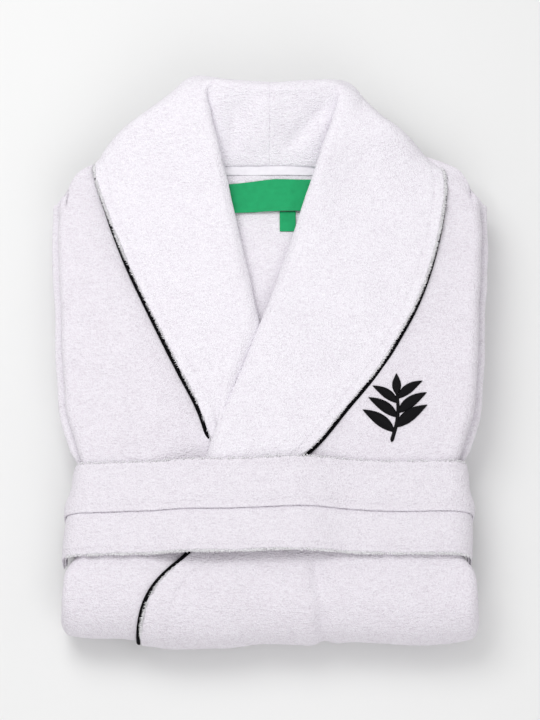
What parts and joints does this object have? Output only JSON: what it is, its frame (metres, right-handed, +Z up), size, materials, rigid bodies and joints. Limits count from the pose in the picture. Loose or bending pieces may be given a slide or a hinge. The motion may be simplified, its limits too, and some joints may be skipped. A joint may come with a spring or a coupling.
{
  "type": "folded bathrobe",
  "caption": "White terry bathrobe with a piped shawl collar, folded for a shelf, its belt laid across; the belt lifts off and the size tag flips.",
  "frame": {"origin": "middle of the rest face, under the centre of the folded bundle", "axes": "+Z up from the rest face; +Y from the front fold towards the collar; +X towards the wearer's left"},
  "size_m": [0.388, 0.5096, 0.0855],
  "materials": {
    "terry_white": "soft brushed terry, matt, with a short dense pile",
    "piping_black": "black cotton corded piping, matt",
    "thread_black": "black embroidery thread in satin stitch, slight sheen",
    "woven_green": "green woven satin label, slight sheen",
    "tape_white": "white cotton twill tape"
  },
  "bodies": {
    "robe": {"back_panel": "terry_white", "belt_loop_left": "tape_white", "belt_loop_right": "tape_white", "care_label": "tape_white", "cuff_left": "terry_white", "cuff_right": "terry_white", "embroidered_motif": "thread_black", "front_panel_left": "terry_white", "front_panel_right": "terry_white", "hanger_loop": "tape_white", "neck_label": "woven_green", "neck_tape": "tape_white", "piping_left": "piping_black", "piping_right_front": "piping_black", "piping_right_lapel": "piping_black", "pocket_left": "terry_white", "pocket_right": "terry_white", "sleeve_left": "terry_white", "sleeve_right": "terry_white", "under_collar_left": "terry_white", "under_collar_right": "terry_white", "upper_collar_left": "terry_white", "upper_collar_right": "terry_white"},
    "belt": {"belt": "terry_white"},
    "size_tag": {"size_tag": "woven_green"}
  },
  "joints": [
    {"name": "belt_lift", "type": "slide", "parent": "robe", "child": "belt", "axis": [0, 0, 1], "range_m": [0, 0.12]},
    {"name": "size_tag_flip", "type": "hinge", "parent": "robe", "child": "size_tag", "pos_m": [0.018, 0.1379, 0.05674], "axis": [-1, 0, 0], "range_deg": [0, 20]}
  ]
}
